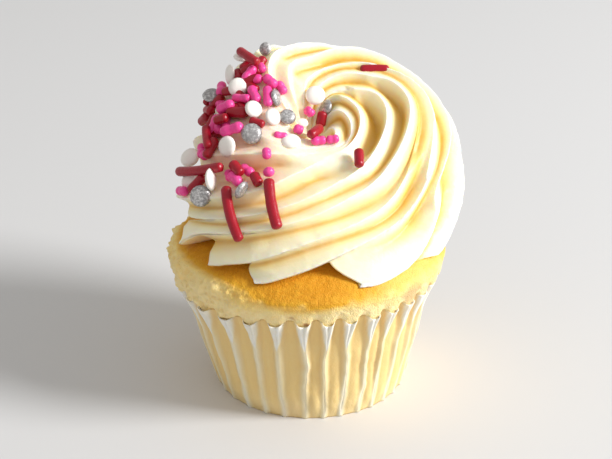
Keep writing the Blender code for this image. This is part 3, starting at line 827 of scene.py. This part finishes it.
def rodPaths(rows, surface, steps=9):
    # each rod's middle line: it leans over the body along its heading, half as curved as the body,
    # and rests between the mean and the highest frosting under it
    turn, place, heading, length, layer, radius = np.array(rows, float).T
    _, _, perDegree, perPlace = bodyFrame(turn, place)
    s = np.linspace(-0.5, 0.5, steps)[None] * length[:, None]
    angle = np.radians(heading)[:, None]
    turns = turn[:, None] + s * np.cos(angle) / perDegree[:, None]
    places = np.clip(place[:, None] + s * np.sin(angle) / perPlace[:, None], 0.3, 6.8)
    at, normal, _, _ = bodyFrame(turns, places)
    relief = reliefAt(surface, turns, places)
    rest = 0.55 * relief.max(1) + 0.45 * relief.mean(1)
    line = at + normal * (rest + 0.8 * radius + sprinkles["layer"] * layer)[:, None, None]
    t = np.linspace(0, 1, steps)[None, :, None]
    straight = line[:, :1] * (1 - t) + line[:, -1:] * t
    straight = straight + (line - straight).mean(1, keepdims=True)
    return 0.5 * line + 0.5 * straight, radius, length


def rodProfile(kind, radius, length):
    # where each ring lies along the rod and its share of the radius: rounded ends, a slight waist
    cap = np.array([0.01, 0.10, 0.29, 0.58, 0.95]) * sprinkles["roundness"][kind]
    size = np.tile([0.22, 0.52, 0.78, 0.94, 1.0], (len(radius), 1))
    gaps = cap[None] * radius[:, None] / length[:, None]
    middle = np.linspace(0, 1, sprinkles["rings"] - 2 * len(cap) + 2)[1:-1]
    inner = gaps[:, -1:] + (1 - 2 * gaps[:, -1:]) * middle[None]
    along = np.concatenate([gaps, inner, 1 - gaps[:, ::-1]], 1)
    swell = np.concatenate([size, np.ones_like(inner), size[:, ::-1]], 1)
    return along, swell * (1 - sprinkles["waist"][kind] * np.exp(-((along - 0.5) / 0.13) ** 2))


def alongPaths(paths, along):
    # the points at these shares of each middle line's length
    steps = paths.shape[1]
    where = along * (steps - 1)
    i = np.clip(np.floor(where).astype(int), 0, steps - 2)
    part = (where - i)[..., None]
    pick = np.arange(len(paths))[:, None]
    return paths[pick, i] * (1 - part) + paths[pick, i + 1] * part


def circlesOf(side, over):
    # the unit circles that these two square directions span
    a = (np.arange(sprinkles["sides"]) * 2 * np.pi / sprinkles["sides"])[:, None]
    return side[..., None, :] * np.cos(a) + over[..., None, :] * np.sin(a)


def repeated(points, ends, outward):
    # many closed grids as one mesh: each one's points, its two end points, and its faces
    count, rings, sides = points.shape[:3]
    total = rings * sides
    faces = closedFaces(rings, sides)
    starts = (np.arange(count) * (total + 2))[:, None, None]
    faces = [((f if outward else f[:, ::-1])[None] + starts).reshape(-1, f.shape[1]) for f in faces]
    everything = np.concatenate([points.reshape(count, total, 3), np.stack(ends, 1)], 1)
    return everything.reshape(-1, 3), faces


def rodMeshes(kind, rows, surface):
    # circles carried along each middle line, closing over its ends
    paths, radius, length = rodPaths(rows, surface)
    along, swell = rodProfile(kind, radius, length)
    centre = alongPaths(paths, along)
    ahead = unit(np.gradient(centre, axis=1))
    helper = np.where(np.abs(ahead[..., 2:]) > 0.8, [1.0, 0, 0], [0, 0, 1.0])
    side = unit(np.cross(ahead, helper))
    wave = 1 + 0.05 * lumps(centre, 1.6, 31)
    reach = (swell * radius[:, None] * wave)[..., None, None]
    points = centre[:, :, None] + circlesOf(side, np.cross(side, ahead)) * reach
    return repeated(points, (centre[:, 0], centre[:, -1]), False)


def discMeshes(rows, surface):
    # a round lozenge: half thickness times (1 - rho^2.6)^0.55 out to its edge, turned to face its way
    turn, place, azimuth, elevation, layer, radius = np.array(rows, float).T
    half = sprinkles["discThickness"] / 2
    at, normal, _, _ = bodyFrame(turn, place)
    relief = reliefAt(surface, turn, place)
    a, e = np.radians(azimuth), np.radians(elevation)
    face = np.stack([np.cos(e) * np.cos(a), np.cos(e) * np.sin(a), np.sin(e)], -1)
    flat = np.abs((face * normal).sum(-1))
    rise = half * flat + radius * 0.75 * (1 - flat) + sprinkles["layer"] * layer
    centre = at + normal * (relief + rise)[:, None]
    side = unit(np.cross(face, [0.05, 0.02, 1.0]))
    rho = np.concatenate([np.linspace(0.15, 1, 7), np.linspace(1, 0.15, 7)[1:]])
    level = half * (1 - np.minimum(rho, 1) ** 2.6) ** 0.55 * np.where(np.arange(13) < 6, 1, -1)
    circle = circlesOf(side, np.cross(side, face))[:, None]
    points = (centre[:, None, None] + circle * (rho * radius[:, None])[..., None, None]
              + face[:, None, None] * level[:, None, None])
    points = points + 0.06 * lumps(points, 1.3, 37)[..., None] * face[:, None, None]
    return repeated(points, (centre + face * half, centre - face * half), True)


def makeSprinkles(surface):
    # the placed ones, and more rods under them at random, half sunk into the frosting
    surface = surface.reshape(-1, 3)[::3]
    random, more = np.random.default_rng(sprinkles["seed"]), sprinkles["under"]
    under = np.column_stack([random.uniform(low, high, more) for low, high in sprinkles["underRanges"]])
    for i, (kind, slot, color, paler) in enumerate((
            ("redRods", "red_sprinkle", (0.34, 0.002, 0.014), (0.52, 0.008, 0.03)),
            ("pinkRods", "pink_sprinkle", (0.88, 0.055, 0.30), (0.96, 0.22, 0.52)))):
        points, faces = rodMeshes(kind, [*sprinkles[kind], *under[i::2]], surface)
        buildPiece(kind, points, faces, sugarMaterial(kind + "Sugar", color, paler, 0.3))
    for kind, slot, color, paler, roughness, metallic, fleck in (
            ("whiteDiscs", "white_sprinkle", (0.92, 0.88, 0.82), (0.95, 0.93, 0.90), 0.5, 0.0, 0.4),
            # the silver discs' near-white flecks: partly a speckled coating, partly painted glints
            ("silverDiscs", "silver_sprinkle", (0.30, 0.29, 0.29), (0.86, 0.85, 0.84), 0.38, 0.45, 1.0)):
        points, faces = discMeshes(sprinkles[kind], surface)
        material = sugarMaterial(kind + "Sugar", color, paler, roughness, metallic, fleck)
        buildPiece(kind, points, faces, material)


makeCase(paperMaterial())
print("cupcake: paper case made")
makeCake(spongeMaterial())
print("cupcake: cake made")
frostingTop = makeFrosting(buttercreamMaterial())
print("cupcake: frosting made")
makeSprinkles(frostingTop)
print("cupcake: sprinkles made")


studio = {
    "floorColor": (0.63, 0.63, 0.633), "floorReach": 6.0,                 # metres each way
    "skyColor": (1.0, 0.985, 0.96), "skyStrength": 0.58,
    "keyFrom": (-14.0, 31.0, 1.6), "keySize": 0.55, "keyPower": 33.0,     # azimuth, elevation, metres
    "aim": (-1.2, 0.0, 42.0), "elevation": 26.0, "distance": 400.0, "lens": 90.2,
}


def makeFloor():
    # a plain pale square
    mesh, reach = bpy.data.meshes.new("floor"), studio["floorReach"]
    corners = [(x * reach, y * reach, 0) for x, y in ((-1, -1), (1, -1), (1, 1), (-1, 1))]
    mesh.from_pydata(corners, [], [(0, 1, 2, 3)])
    floor = bpy.data.objects.new("floor", mesh)
    bpy.context.scene.collection.objects.link(floor)
    material, _, shader = newMaterial("paleFloor", Roughness=0.6, Specular_IOR_Level=0.2)
    shader.inputs["Base Color"].default_value = (*studio["floorColor"], 1.0)
    mesh.materials.append(material)


def lookFrom(position, target):
    # the turn that points an object's own -Z from here to there, with +Y up
    return (Vector(target) - Vector(position)).to_track_quat("-Z", "Y").to_euler()


def makeLight():
    # one round window light, aimed at the middle of the cake
    azimuth, elevation, distance = studio["keyFrom"]
    light = bpy.data.lights.new("window", "AREA")
    light.shape = "DISK"
    light.size, light.energy = studio["keySize"], studio["keyPower"]
    lamp = bpy.data.objects.new("window", light)
    a, e = math.radians(azimuth), math.radians(elevation)
    lamp.location = (distance * math.cos(e) * math.cos(a), distance * math.cos(e) * math.sin(a),
                     distance * math.sin(e))
    lamp.rotation_euler = lookFrom(lamp.location, (0, 0, 0.04))
    bpy.context.scene.collection.objects.link(lamp)


def makeSky():
    # an even, faintly warm light from all round
    world = bpy.data.worlds.new("softRoom")
    bpy.context.scene.world = world
    world.use_nodes = True
    sky = world.node_tree.nodes["Background"]
    sky.inputs["Color"].default_value = (*studio["skyColor"], 1)
    sky.inputs["Strength"].default_value = studio["skyStrength"]


def makeCamera():
    # it looks at its aim from the front, from this far away and this many degrees up
    lens = bpy.data.cameras.new("camera")
    lens.lens, lens.sensor_width = studio["lens"], 36.0
    lens.clip_start = 0.01
    camera = bpy.data.objects.new("camera", lens)
    e = math.radians(studio["elevation"])
    target = [v * mm for v in studio["aim"]]
    away = studio["distance"] * mm
    camera.location = (target[0], target[1] - away * math.cos(e), target[2] + away * math.sin(e))
    camera.rotation_euler = lookFrom(camera.location, target)
    bpy.context.scene.collection.objects.link(camera)
    bpy.context.scene.camera = camera
    bpy.context.scene.view_settings.view_transform = "Standard"


makeFloor()
makeSky()
makeLight()
makeCamera()
print("cupcake: studio made")
